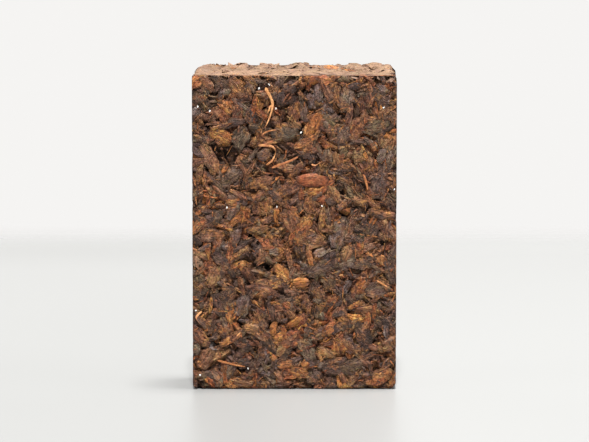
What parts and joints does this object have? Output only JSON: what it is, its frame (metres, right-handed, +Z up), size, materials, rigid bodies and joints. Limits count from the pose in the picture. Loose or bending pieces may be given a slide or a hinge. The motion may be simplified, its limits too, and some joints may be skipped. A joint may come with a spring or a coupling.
{
  "type": "pressed tea nugget",
  "caption": "Small upright block of ripe pu-erh tea, pressed from broken dark leaf, with flat faces, open cracks and a craggy top.",
  "frame": {"origin": "middle of the base, on the surface that the block stands on", "axes": "+Z up along the longest side, +Y towards the back, through the block's thickness, +X to the right as seen from the front"},
  "size_m": [0.025, 0.008, 0.0396],
  "materials": {
    "tea_leaf": "matt dark brown pressed leaf, mottled, with a slight sheen on single leaves"
  },
  "bodies": {
    "root": {"tea_nugget": "tea_leaf"}
  },
  "joints": []
}
